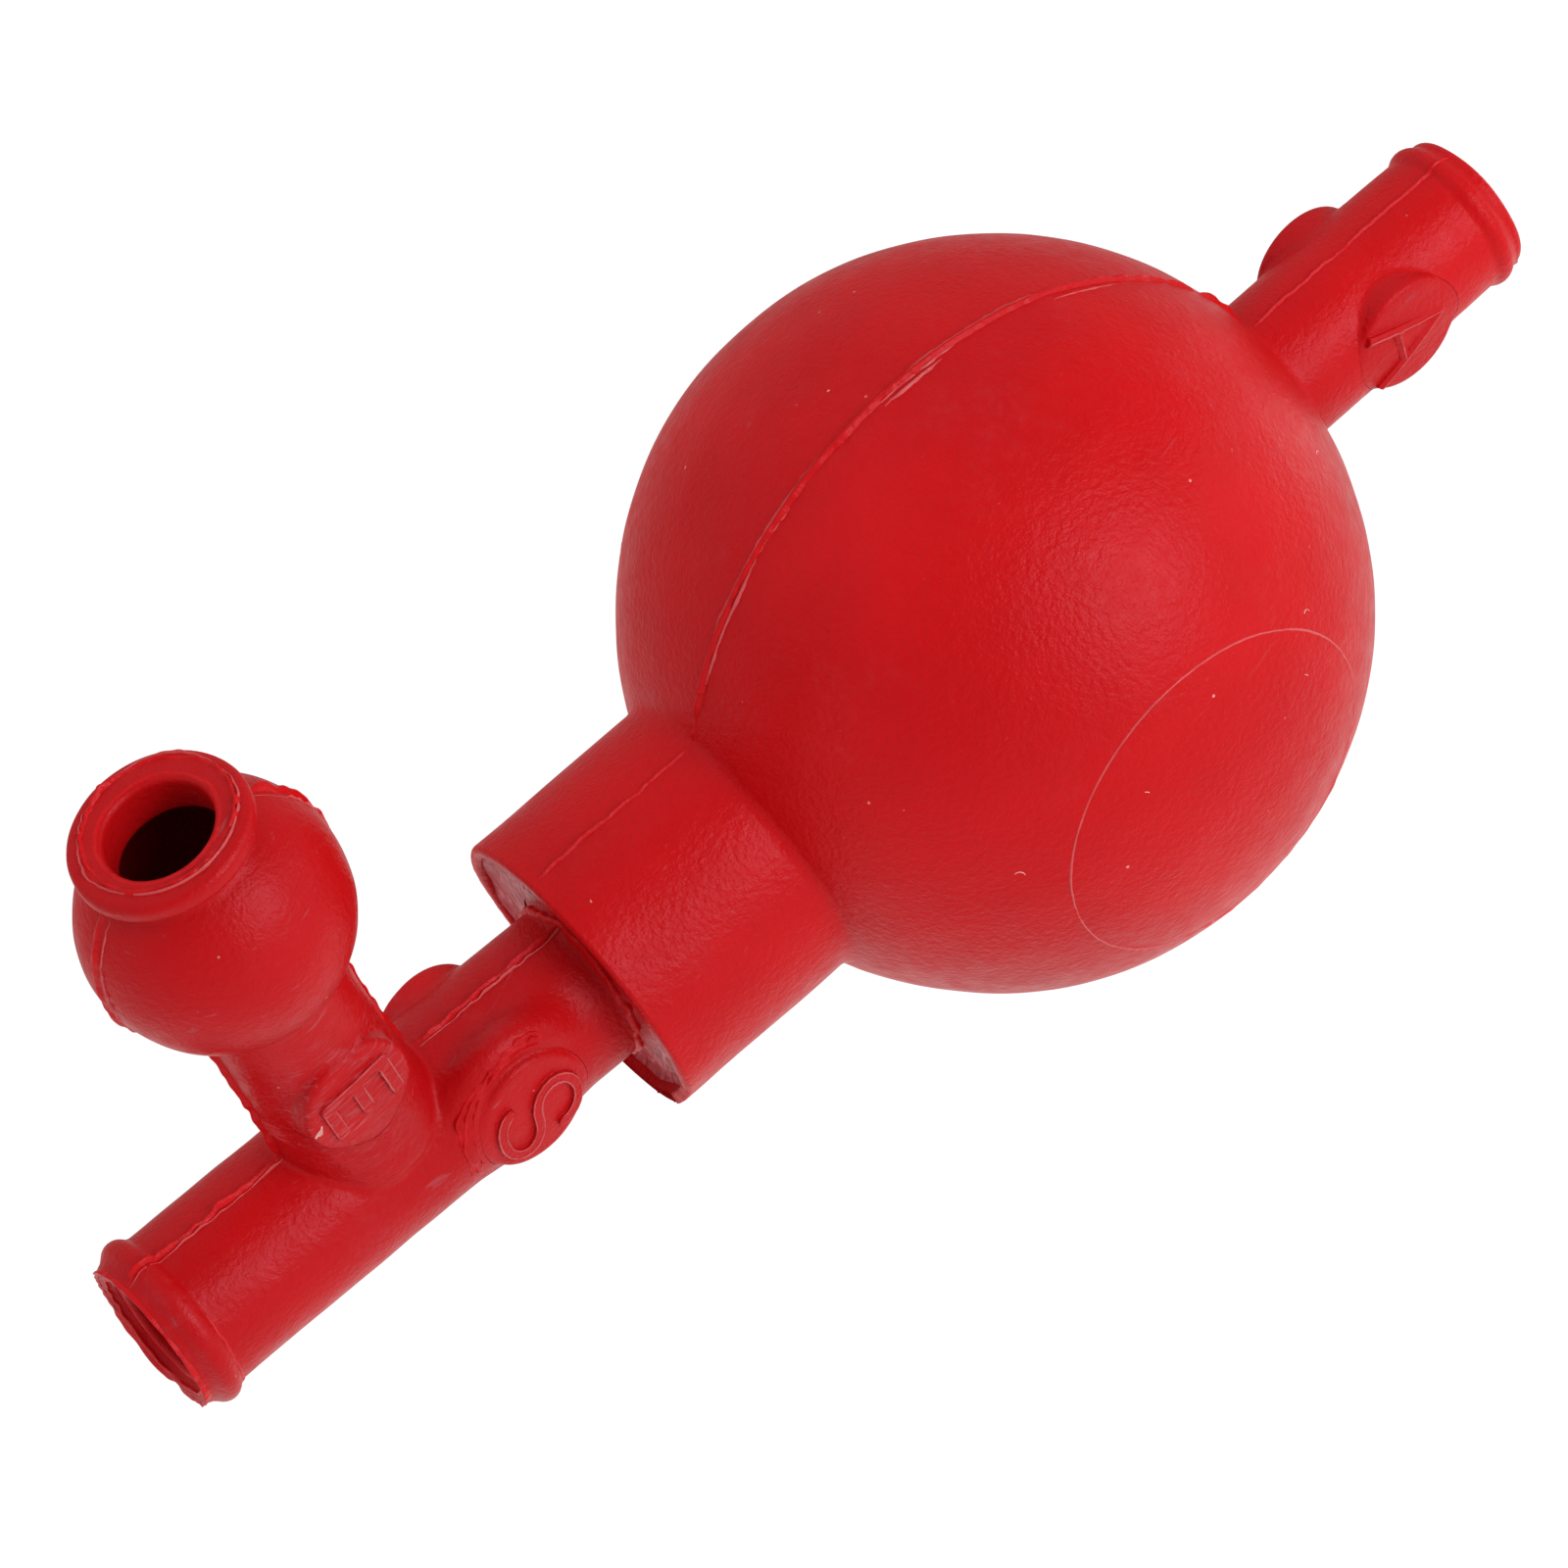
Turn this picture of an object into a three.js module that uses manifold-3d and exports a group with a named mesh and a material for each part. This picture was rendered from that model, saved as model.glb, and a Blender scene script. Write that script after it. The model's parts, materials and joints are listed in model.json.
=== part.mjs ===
// Siphon bulb pump: the three-valve rubber pipette filler of a chemistry laboratory.
// A squeezed bulb draws liquid up through the stem (valve S), a ball valve in the neck
// lets air out of the bulb (valve A) and one in the side branch lets it in (valve E).
//
// Millimetres. The model is built in the pump's own frame: the bulb's centre is the
// origin, +X runs along the stem, the side branch points to -Y, and the mould's parting
// plane is Z = 0. The last section turns the whole pump into the pose it lies in, on its
// bulb, its stem bead and its blow-out bulb, with +Z up.
import * as THREE from 'three';
import { mergeVertices } from 'three/addons/utils/BufferGeometryUtils.js';
import Module from 'manifold-3d';

const wasm = await Module();
wasm.setup();

// ---- driving dimensions -------------------------------------------------------------
const GAP = 0.3;                 // clearance between pieces that meet
const BULB_RADIUS = 30;
const BULB_WALL = 3;

const NECK_RADIUS = 6.4;
const NECK_BEAD_START = 49.6;    // distances from the bulb's centre
const NECK_BEAD_RADIUS = 6.8;
const NECK_END = 52.6;
const NECK_MOUTH_RADIUS = 4;
const NECK_MOUTH_DEPTH = 7.4;

const COLLAR_RADIUS = 12.8;
const COLLAR_END = 43.9;
const COLLAR_BORE = 11.7;
const RECESS_DEPTH = 0.8;         // how far the plug's face sits inside the collar
const PLUG_START = 29;

const STEM_RADIUS = 6.9;
const STEM_BEAD_START = 84.3;
const STEM_BEAD_RADIUS = 7.5;
const STEM_END = 87.4;
const STEM_PIVOT = 36;           // the glued stem leans about this point of the collar
const STEM_OFFSET = [0.4, 0.5];  // and sits this far off the collar's axis, in Y and Z
const STEM_LEAN = [2.3, -2.6, -5.7]; // degrees about X, Y and Z
const SOCKET_RADIUS = 4.4;       // the pipette's seat
const SOCKET_DEPTH = 16.5;

const BRANCH_ROOT = 65.1;        // where the branch leaves the stem
const BRANCH_LEAN = 5.7;         // degrees towards the stem's end
const BRANCH_ROOT_RADIUS = 6.6;
const BRANCH_RADIUS = 5.9;
const BLOW_BULB_DISTANCE = 32.8; // from the stem's axis
const BLOW_BULB_RADIUS = 10.15;
const BLOW_BULB_WALL = 1.8;
const MOUTH_DISTANCE = 43.7;
const MOUTH_RIM_RADIUS = 7.2;
const MOUTH_WAIST_RADIUS = 6;
const MOUTH_HOLE_RADIUS = 4.2;

const CHANNEL_RADIUS = 2;        // the air way through the valves
const BALL_RADIUS = 2.75;
const CHAMBER_RADIUS = BALL_RADIUS + GAP;
const CHAMBER_LENGTH = 6.3;
const PAD_RADIUS = 5.15;         // the round finger pads on both sides of each valve
const PAD_FOOT = 2.4;            // how near the parting plane a pad's side reaches
const PAD_SADDLE = 5.4;          // radius of the pad's hollowed underside
const PAD_TRAVEL = 1.4;
const VALVE_A_AT = -39.9;
const VALVE_S_AT = 54.6;
const VALVE_E_AT = 14.1;         // along the branch
const VALVE_E_SHIFT = 0.1;       // the E pads stand a little towards the stem's end
const PAD_HEIGHT = { A: 6.8, S: 7.1, E: 6.8 };

const BULB_PANEL_RADIUS = 19;    // the sides that the hand presses in
const BLOW_PANEL_RADIUS = 6;

const ROUND = 36;                // facets around the large turned pieces
const SMALL_ROUND = 20;
const ARC_STEPS = 9;

// ---- colours and finishes -----------------------------------------------------------
const RUBBER = { color: 0xc4202a, roughness: 0.55, metalness: 0 };
const RUBBER_PAD = { color: 0xcb2a33, roughness: 0.5, metalness: 0 };
const GLASS = { color: 0xdfe8ea, roughness: 0.08, metalness: 0 };
const CEMENT = { color: 0xb85a60, roughness: 0.3, metalness: 0 };

// ---- solids -------------------------------------------------------------------------
const X_AXIS = new THREE.Vector3(1, 0, 0);
const Z_AXIS = new THREE.Vector3(0, 0, 1);
const radians = THREE.MathUtils.degToRad;

// A closed geometry as a manifold solid: shared corners are merged, and the slivers that
// a lathe leaves on its axis are dropped.
function solid(geometry) {
  const bare = geometry.clone();
  bare.deleteAttribute('normal');
  bare.deleteAttribute('uv');
  const merged = mergeVertices(bare, 1e-5);
  const index = Array.from(merged.index.array);
  const triangles = [];
  for (let i = 0; i < index.length; i += 3) {
    const [a, b, c] = index.slice(i, i + 3);
    if (a !== b && b !== c && c !== a) triangles.push(a, b, c);
  }
  return new wasm.Manifold(new wasm.Mesh({
    numProp: 3,
    vertProperties: new Float32Array(merged.attributes.position.array),
    triVerts: new Uint32Array(triangles),
  }));
}

function geometryOf(manifold) {
  const mesh = manifold.getMesh();
  const geometry = new THREE.BufferGeometry();
  geometry.setAttribute('position', new THREE.BufferAttribute(mesh.vertProperties, 3));
  geometry.setIndex(new THREE.BufferAttribute(mesh.triVerts, 1));
  geometry.computeVertexNormals();
  return geometry;
}

// A profile of [distance along X, radius] turned about the X axis.
function turned(profile, facets = SMALL_ROUND) {
  const points = profile.map(([along, radius]) => new THREE.Vector2(radius, along));
  return new THREE.LatheGeometry(points, facets).rotateZ(-Math.PI / 2);
}

// A full cylinder along X, from one distance to another.
function bar(radius, from, to, facets = SMALL_ROUND) {
  return turned([[from, 0], [from, radius], [to, radius], [to, 0]], facets);
}

// A full cylinder parallel to Z at (x, y), between two heights.
function post(radius, x, y, from, to, facets = SMALL_ROUND) {
  const geometry = new THREE.CylinderGeometry(radius, radius, to - from, facets);
  return geometry.rotateX(Math.PI / 2).translate(x, y, (from + to) / 2);
}

// Profile points on a circle centred on the X axis, between two distances along X.
function arc(centre, radius, from, to, steps = ARC_STEPS) {
  const start = Math.acos((from - centre) / radius);
  const end = Math.acos((to - centre) / radius);
  return Array.from({ length: steps + 1 }, (_, step) => {
    const angle = start + (end - start) * step / steps;
    return [centre + radius * Math.cos(angle), radius * Math.sin(angle)];
  });
}

// How far along X a circle of the given radius reaches where it is `height` from the axis.
function reach(radius, height) {
  return Math.sqrt(radius ** 2 - height ** 2);
}

function subtractAll(body, ...cutters) {
  return cutters.reduce((rest, cutter) => rest.subtract(solid(cutter)), body);
}

function mesh(name, geometry, finish) {
  const made = new THREE.Mesh(geometry, new THREE.MeshStandardMaterial({ ...finish, name }));
  made.name = name;
  return made;
}

// ---- frames -------------------------------------------------------------------------
// The stem's frame has the pump's origin, and leans about the pivot in the collar.
function stemMatrix() {
  const lean = new THREE.Euler(...STEM_LEAN.map(radians), 'ZYX');
  const toPivot = new THREE.Matrix4().makeTranslation(STEM_PIVOT, ...STEM_OFFSET);
  const fromPivot = new THREE.Matrix4().makeTranslation(-STEM_PIVOT, 0, 0);
  return toPivot.multiply(new THREE.Matrix4().makeRotationFromEuler(lean)).multiply(fromPivot);
}

// The branch's frame, inside the stem's: X runs out along the branch.
function branchMatrix() {
  const turn = new THREE.Matrix4().makeRotationZ(radians(BRANCH_LEAN - 90));
  return new THREE.Matrix4().makeTranslation(BRANCH_ROOT, 0, 0).multiply(turn);
}

function framed(matrix, ...children) {
  const group = new THREE.Group();
  group.applyMatrix4(matrix);
  group.add(...children);
  return group;
}

// ---- valves -------------------------------------------------------------------------
// The room a pad moves in: all that lies around the tube's core, under and beside the pad.
function padPocket(at, side) {
  const low = PAD_FOOT - PAD_TRAVEL - GAP;
  const room = solid(post(PAD_RADIUS + GAP, at, side, low, BULB_RADIUS));
  const core = bar(PAD_SADDLE - PAD_TRAVEL - GAP, at - 2 * PAD_RADIUS, at + 2 * PAD_RADIUS);
  return geometryOf(subtractAll(room, core));
}

// A pad sits on the tube like a saddle: round from above, hollowed to the tube below.
function padGeometry(at, side, height) {
  const disc = solid(post(PAD_RADIUS, at, side, PAD_FOOT, height));
  const tube = bar(PAD_SADDLE, at - 2 * PAD_RADIUS, at + 2 * PAD_RADIUS, ROUND);
  return geometryOf(subtractAll(disc, tube));
}

// Turned half round its tube, which takes one side of a round piece to the other.
function mirrored(geometry) {
  return geometry.clone().rotateX(Math.PI);
}

// Both pads of a valve. `side` moves them off the tube's axis, the same way on both faces.
function padPair(letter, at, side = 0) {
  const height = PAD_HEIGHT[letter];
  return [
    mesh(`valve_${letter}_pad_top`, padGeometry(at, side, height), RUBBER_PAD),
    mesh(`valve_${letter}_pad_bottom`, mirrored(padGeometry(at, -side, height)), RUBBER_PAD),
  ];
}

function padPockets(at, side = 0) {
  return [padPocket(at, side), mirrored(padPocket(at, -side))];
}

function valveBall(letter, at) {
  const sphere = new THREE.SphereGeometry(BALL_RADIUS, 16, 10).translate(at, 0, 0);
  const closed = geometryOf(solid(sphere));
  return mesh(`valve_${letter}_ball`, closed, GLASS);
}

function chamber(at) {
  return bar(CHAMBER_RADIUS, at - CHAMBER_LENGTH / 2, at + CHAMBER_LENGTH / 2);
}

// ---- bulb moulding ------------------------------------------------------------------
// Neck, bulb and collar are one moulding, turned in a single closed profile.
function bulbMoulding() {
  const inner = BULB_RADIUS - BULB_WALL;
  const neck = [
    [-NECK_END, NECK_MOUTH_RADIUS],
    [-NECK_END, NECK_RADIUS - 0.6],
    [-NECK_END + 0.4, NECK_RADIUS - 0.1],
    [-NECK_END + 1.3, NECK_RADIUS],
    [-NECK_END + 1.6, NECK_BEAD_RADIUS],
    [-NECK_BEAD_START - 0.6, NECK_BEAD_RADIUS],
    [-NECK_BEAD_START, NECK_RADIUS],
  ];
  const outside = arc(0, BULB_RADIUS, -reach(BULB_RADIUS, NECK_RADIUS),
    reach(BULB_RADIUS, COLLAR_RADIUS));
  const collar = [
    [COLLAR_END - 0.5, COLLAR_RADIUS],
    [COLLAR_END, COLLAR_RADIUS - 0.5],
    [COLLAR_END, COLLAR_BORE + 0.5],
    [COLLAR_END - 0.5, COLLAR_BORE],
  ];
  const inside = arc(0, inner, reach(inner, COLLAR_BORE), -reach(inner, CHANNEL_RADIUS));
  const mouth = [
    [-NECK_END + NECK_MOUTH_DEPTH + 1, CHANNEL_RADIUS],
    [-NECK_END + NECK_MOUTH_DEPTH, NECK_MOUTH_RADIUS],
    [-NECK_END, NECK_MOUTH_RADIUS],
  ];
  return solid(turned([...neck, ...outside, ...collar, ...inside, ...mouth], ROUND));
}

// The side of the bulb that a hand presses in, on the -Y side.
function bulbPanelZone(radius) {
  return post(radius, 0, 0, 0, BULB_RADIUS + 5, ROUND).rotateX(Math.PI / 2);
}

function bulbPieces() {
  const moulding = bulbMoulding();
  const window = bulbPanelZone(BULB_PANEL_RADIUS + GAP);
  const body = subtractAll(moulding, window, window.clone().rotateX(Math.PI),
    chamber(VALVE_A_AT), ...padPockets(VALVE_A_AT));
  const front = geometryOf(moulding.intersect(solid(bulbPanelZone(BULB_PANEL_RADIUS))));
  return [
    mesh('bulb_body', geometryOf(body), RUBBER),
    mesh('bulb_panel_front', front, RUBBER),
    mesh('bulb_panel_back', mirrored(front), RUBBER),
    ...padPair('A', VALVE_A_AT),
    valveBall('A', VALVE_A_AT),
  ];
}

// ---- stem moulding ------------------------------------------------------------------
function stemTube() {
  return solid(turned([
    [STEM_PIVOT, 0],
    [STEM_PIVOT, STEM_RADIUS],
    [STEM_BEAD_START, STEM_RADIUS],
    [STEM_BEAD_START + 0.6, STEM_BEAD_RADIUS],
    [STEM_END - 1.1, STEM_BEAD_RADIUS],
    [STEM_END - 0.4, STEM_RADIUS],
    [STEM_END, STEM_RADIUS - 0.5],
    [STEM_END, 0],
  ], ROUND));
}

// Branch tube, blow-out bulb and mouth rim, along X of the branch's frame.
function branchBody() {
  const centre = BLOW_BULB_DISTANCE;
  const start = centre - reach(BLOW_BULB_RADIUS, BRANCH_RADIUS);
  const end = centre + reach(BLOW_BULB_RADIUS, MOUTH_WAIST_RADIUS);
  return turned([
    [0, 0],
    [0, BRANCH_ROOT_RADIUS],
    ...arc(centre, BLOW_BULB_RADIUS, start, end),
    [end + 0.5, MOUTH_RIM_RADIUS - 0.3],
    [MOUTH_DISTANCE - 1.3, MOUTH_RIM_RADIUS],
    [MOUTH_DISTANCE - 0.4, MOUTH_RIM_RADIUS - 0.2],
    [MOUTH_DISTANCE, MOUTH_RIM_RADIUS - 0.8],
    [MOUTH_DISTANCE, 0],
  ], ROUND);
}

function branchHollow() {
  const inner = BLOW_BULB_RADIUS - BLOW_BULB_WALL;
  const centre = BLOW_BULB_DISTANCE;
  const start = centre - reach(inner, CHANNEL_RADIUS);
  const end = centre + reach(inner, MOUTH_HOLE_RADIUS);
  return turned([
    [0, 0],
    [0, CHANNEL_RADIUS],
    ...arc(centre, inner, start, end),
    [MOUTH_DISTANCE + 1, MOUTH_HOLE_RADIUS],
    [MOUTH_DISTANCE + 1, 0],
  ]);
}

// The side of the blow-out bulb that a finger presses in, on the stem-end side.
function blowPanelZone(radius) {
  return post(radius, 0, 0, 0, BLOW_BULB_RADIUS + 2).rotateX(-Math.PI / 2)
    .translate(BLOW_BULB_DISTANCE, 0, 0);
}

function plug() {
  const radius = COLLAR_BORE - 3 * GAP;
  return bar(radius, PLUG_START, COLLAR_END - RECESS_DEPTH, ROUND);
}

function stemPieces() {
  const inStem = stemMatrix();
  const onBranch = branchMatrix();
  const branchSolid = branchBody();
  const hollow = branchHollow();
  const blowWindow = blowPanelZone(BLOW_PANEL_RADIUS + GAP);
  const toBranch = (geometry) => geometry.clone().applyMatrix4(onBranch);
  const plugInStem = plug().applyMatrix4(inStem.clone().invert());

  const outside = stemTube().add(solid(plugInStem)).add(solid(toBranch(branchSolid)));
  const body = subtractAll(
    outside,
    bar(CHANNEL_RADIUS, PLUG_START - 2, STEM_END - SOCKET_DEPTH + 1),
    chamber(VALVE_S_AT),
    bar(SOCKET_RADIUS, STEM_END - SOCKET_DEPTH, STEM_END + 1),
    toBranch(hollow),
    toBranch(chamber(VALVE_E_AT)),
    toBranch(blowWindow),
    toBranch(mirrored(blowWindow)),
    ...padPockets(VALVE_S_AT),
    ...padPockets(VALVE_E_AT, VALVE_E_SHIFT).map(toBranch),
  );

  const wall = subtractAll(solid(branchSolid), hollow);
  const panel = geometryOf(wall.intersect(solid(blowPanelZone(BLOW_PANEL_RADIUS))));
  const branch = framed(
    onBranch,
    mesh('blow_bulb_panel_outer', panel, RUBBER),
    mesh('blow_bulb_panel_inner', mirrored(panel), RUBBER),
    ...padPair('E', VALVE_E_AT, VALVE_E_SHIFT),
    valveBall('E', VALVE_E_AT),
  );
  return framed(
    inStem,
    mesh('stem_body', geometryOf(body), RUBBER),
    ...padPair('S', VALVE_S_AT),
    valveBall('S', VALVE_S_AT),
    branch,
  );
}

// The film of rubber cement that holds the plug in the collar.
function cementLayer() {
  const outer = COLLAR_BORE - GAP;
  const inner = COLLAR_BORE - 2 * GAP;
  const end = COLLAR_END - RECESS_DEPTH;
  const ring = turned([
    [PLUG_START, inner],
    [PLUG_START, outer],
    [end, outer],
    [end, inner],
    [PLUG_START, inner],
  ], ROUND);
  return mesh('cement_layer', geometryOf(solid(ring)), CEMENT);
}

// ---- the pose the pump lies in ------------------------------------------------------
// It touches the table with the bulb, the bead at the stem's end and the blow-out bulb.
// Each pass solves for the direction of the table that is as far from all three.
function tableDirection() {
  const inStem = stemMatrix();
  const blow = new THREE.Vector3(BLOW_BULB_DISTANCE, 0, 0)
    .applyMatrix4(branchMatrix()).applyMatrix4(inStem);
  const bead = new THREE.Vector3(STEM_END - 1.1, 0, 0).applyMatrix4(inStem);
  const stemAxis = X_AXIS.clone().transformDirection(inStem);
  const down = Z_AXIS.clone().negate();
  for (let pass = 0; pass < 30; pass += 1) {
    const beadShare = Math.sqrt(1 - stemAxis.dot(down) ** 2);
    const blowSide = BULB_RADIUS - BLOW_BULB_RADIUS - blow.z * down.z;
    const beadSide = BULB_RADIUS - STEM_BEAD_RADIUS * beadShare - bead.z * down.z;
    const scale = blow.x * bead.y - blow.y * bead.x;
    const x = (blowSide * bead.y - beadSide * blow.y) / scale;
    const y = (blow.x * beadSide - bead.x * blowSide) / scale;
    down.set(x, y, -Math.sqrt(1 - x * x - y * y));
  }
  return down;
}

function lyingPump() {
  const pump = new THREE.Group();
  pump.add(...bulbPieces(), cementLayer(), stemPieces());
  pump.quaternion.setFromUnitVectors(tableDirection(), Z_AXIS.clone().negate());

  const standing = new THREE.Group();
  standing.add(pump);
  standing.updateMatrixWorld(true);
  const box = new THREE.Box3().setFromObject(standing, true);
  const middle = box.getCenter(new THREE.Vector3());
  pump.position.set(-middle.x, -middle.y, -box.min.z);
  standing.updateMatrixWorld(true);
  return standing;
}

export default lyingPump();
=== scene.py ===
"""Siphon bulb pump of red natural rubber: its looks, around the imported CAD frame.

Shapes are worked out in millimetres, in the frames of the pump, its glued-in stem and the
side branch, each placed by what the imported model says. The two rubber mouldings are
distance fields turned into smooth skins, so that their parts run into each other.
"""

import json
import math

import bpy
import numpy as np
from mathutils import Matrix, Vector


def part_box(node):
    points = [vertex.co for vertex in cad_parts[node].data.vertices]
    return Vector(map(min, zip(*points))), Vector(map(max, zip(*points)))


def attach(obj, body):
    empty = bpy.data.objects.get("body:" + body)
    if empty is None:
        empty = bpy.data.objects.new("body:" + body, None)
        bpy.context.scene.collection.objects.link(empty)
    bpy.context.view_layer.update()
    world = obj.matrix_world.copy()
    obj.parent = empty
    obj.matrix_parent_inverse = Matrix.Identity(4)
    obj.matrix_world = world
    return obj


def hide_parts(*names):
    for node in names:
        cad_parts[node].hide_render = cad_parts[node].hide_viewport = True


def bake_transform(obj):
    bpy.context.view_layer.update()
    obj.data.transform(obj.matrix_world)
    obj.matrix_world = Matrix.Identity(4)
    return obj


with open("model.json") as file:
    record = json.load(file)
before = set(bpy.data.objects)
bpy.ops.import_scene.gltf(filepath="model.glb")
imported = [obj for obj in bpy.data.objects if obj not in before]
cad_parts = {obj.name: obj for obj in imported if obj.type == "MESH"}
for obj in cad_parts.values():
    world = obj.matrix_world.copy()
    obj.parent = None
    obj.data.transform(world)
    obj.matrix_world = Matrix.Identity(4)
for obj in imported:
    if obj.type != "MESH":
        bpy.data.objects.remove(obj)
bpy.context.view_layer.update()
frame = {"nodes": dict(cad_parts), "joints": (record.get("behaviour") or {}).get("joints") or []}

# ---- dimensions, in millimetres
MM = 0.001
BULB_RADIUS = 30
NECK_RADIUS = 6.4
NECK_END = 52.6
NECK_BEAD = 50.5
NECK_MOUTH_RADIUS = 4
NECK_MOUTH_DEPTH = 7.4
COLLAR_RADIUS = 12.8
COLLAR_END = 43.9
COLLAR_BORE = 11.7
COLLAR_TONGUE = 0.9
PLUG_FACE = 43.1
PLUG_START = 29.6
PLUG_RADIUS = 11.2
STEM_START = 33
STEM_RADIUS = 6.9
STEM_BEAD = 85.4
STEM_END = 87.4
SOCKET_RADIUS = 4.4
SOCKET_DEPTH = 16.5
BRANCH_ROOT = 65.1
BRANCH_LEAN = math.radians(5.7)
LEAN_SIN, LEAN_COS = math.sin(BRANCH_LEAN), math.cos(BRANCH_LEAN)
BRANCH_ROOT_RADIUS = 6.6
BRANCH_RADIUS = 5.9
BLOW_CENTRE = 32.8
BLOW_RADIUS = 10.15
BLOW_WALL = 1.8
BLOW_MIDDLE_RADIUS = BLOW_RADIUS - BLOW_WALL / 2
MOUTH_END = 43.7
MOUTH_RIM_RADIUS = 7.05
MOUTH_HOLE_RADIUS = 4.2
CHANNEL_RADIUS = 2
CHAMBER_RADIUS = 3.05
CHAMBER_LENGTH = 6.3

# Each valve's place along its tube and aside from the tube's axis, and its two pads.
VALVES = {"A": -39.9, "S": 54.6, "E": 14.1}
SIDES = {"A": 0, "S": 0, "E": 0.1}
PAD_RADII = {"A": 5.2, "S": 5.15, "E": 5.0}
PAD_HEIGHTS = {"A": 6.8, "S": 7.35, "E": 6.8}
PAD_PLAY = {"A": 0.13, "S": 0.16, "E": 0.13}
PAD_FOOT = 2.4
PAD_SADDLE = 5.4
PAD_TRAVEL = 1.4
FILLETS = {"A": 0.4, "S": 0.4, "E": 0.35}
APRON_WIDTHS = {"A": 1.2, "S": 0.6, "E": 1.7}
APRON_PLAY = 0.035
APRON_ROWS = (0.15, 0.3, 0.5, 0.75, 1)
APRON_LIFTS = (0.012, 0.02, 0.02, 0.02, 0.02, -0.03)
STROKE_WIDTHS = {"A": 0.85, "S": 0.85, "E": 1.05}
STROKE_HEIGHTS = {"A": 0.5, "S": 0.34, "E": 0.24}

# Distances from the middle plane where a squeezed side begins to move and moves fully.
BULB_CAP = (14.6, 29.5)
BLOW_CAP = (6.6, 9.6)
BLOW_LINING_CAP = (4.3, 7.7)
BLOW_CAP_REACH = 8.2
BLOW_LINING_REACH = 7.3
INSERT_ANGLE = math.radians(28.6)

FRONT_AND_BACK = (("front", -1), ("back", 1))
TOP_AND_BOTTOM = (("top", 1), ("bottom", -1))


# ---- frames
def unit(vector):
    vector = np.array(vector, float)
    return vector / np.linalg.norm(vector)


def joint_axis(name):
    return unit(next(j["axis"] for j in frame["joints"] if j["name"] == name))


def centre_of(*nodes):
    return np.mean([np.array(corner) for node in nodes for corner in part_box(node)], 0)


class Place:
    """A frame in millimetres, set by two axes and one point known in it and in the scene."""

    def __init__(self, y, z, known, at):
        x = unit(np.cross(y, z))
        self.axes = np.array([x, np.cross(z, x), z])
        self.origin = at - np.array(known) * MM @ self.axes

    def out(self, points):
        return self.origin + np.asarray(points, float) * MM @ self.axes

    def turn(self, vectors):
        return np.asarray(vectors, float) @ self.axes


PUMP = Place(
    joint_axis("bulb_front_press"),
    -joint_axis("valve_A_top_press"),
    (0, 0, 0),
    centre_of("bulb_panel_front", "bulb_panel_back"),
)
BRANCH = Place(
    -joint_axis("blow_outer_press"),
    -joint_axis("valve_E_top_press"),
    (BLOW_CENTRE, 0, 0),
    centre_of("blow_bulb_panel_outer", "blow_bulb_panel_inner"),
)
STEM = Place(
    LEAN_SIN * BRANCH.axes[1] - LEAN_COS * BRANCH.axes[0],
    -joint_axis("valve_S_top_press"),
    (BRANCH_ROOT, 0, 0),
    BRANCH.origin,
)
STEM_TO_PUMP = STEM.axes @ PUMP.axes.T
STEM_IN_PUMP = (STEM.origin - PUMP.origin) @ PUMP.axes.T / MM


def in_pump(points):
    return points @ STEM_TO_PUMP + STEM_IN_PUMP


def in_branch(points):
    """Stem coordinates as distances along the branch, across it and above its plane."""
    x, y, z = (points - (BRANCH_ROOT, 0, 0)).T
    return np.stack([x * LEAN_SIN - y * LEAN_COS, x * LEAN_COS + y * LEAN_SIN, z], 1)


def from_branch(points):
    along, across, up = np.asarray(points, float).T
    x = BRANCH_ROOT + along * LEAN_SIN + across * LEAN_COS
    return np.stack([x, across * LEAN_SIN - along * LEAN_COS, up], 1)


# ---- distance fields: below zero in the rubber
# `fine` adds the small unevenness, and `pockets` cuts the pads' room.
def joined(a, b, blend):
    mix = np.clip(0.5 + 0.5 * (b - a) / blend, 0, 1)
    return b + (a - b) * mix - blend * mix * (1 - mix)


def carved(a, b, blend):
    return -joined(-a, b, blend)


def smooth(t):
    t = np.clip(t, 0, 1)
    return t * t * (3 - 2 * t)


def bar(along, radial, start, end, radius, edge=0.3):
    """A round bar about the axis that `along` runs on, with rounded edges."""
    a = radial - radius + edge
    b = np.abs(along - (start + end) / 2) - (end - start) / 2 + edge
    return np.minimum(np.maximum(a, b), 0) + np.hypot(np.maximum(a, 0), np.maximum(b, 0)) - edge


def ring(along, radial, at, radius, thickness):
    return np.hypot(along - at, radial - radius) - thickness


def waves(points, length, seed, count=7):
    """A smooth, repeatable unevenness of about -1 to 1, with swells `length` apart."""
    draws = np.random.default_rng(seed)
    way = draws.normal(size=(count, 3))
    turns = 2 * math.pi / length * draws.uniform(0.6, 1.5, count)
    way *= (turns / np.linalg.norm(way, axis=1))[:, None]
    phase = draws.uniform(0, 2 * math.pi, count)
    angles = (points @ way.T + phase).astype(np.float32)
    return np.sin(angles).sum(1).astype(float) * (1.6 / count)


def pocket_radius(letter):
    return PAD_RADII[letter] + PAD_PLAY[letter]


def pocket(along, across, up, letter):
    """The room that a valve's two pads slide in, on both sides of the tube's core."""
    post = np.hypot(along - VALVES[letter], across - SIDES[letter]) - pocket_radius(letter)
    core = PAD_SADDLE - PAD_TRAVEL - 0.2 - np.hypot(across, up)
    floor = PAD_FOOT - PAD_TRAVEL - 0.15 - np.abs(up)
    return np.maximum(np.maximum(post, core), floor)


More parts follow.
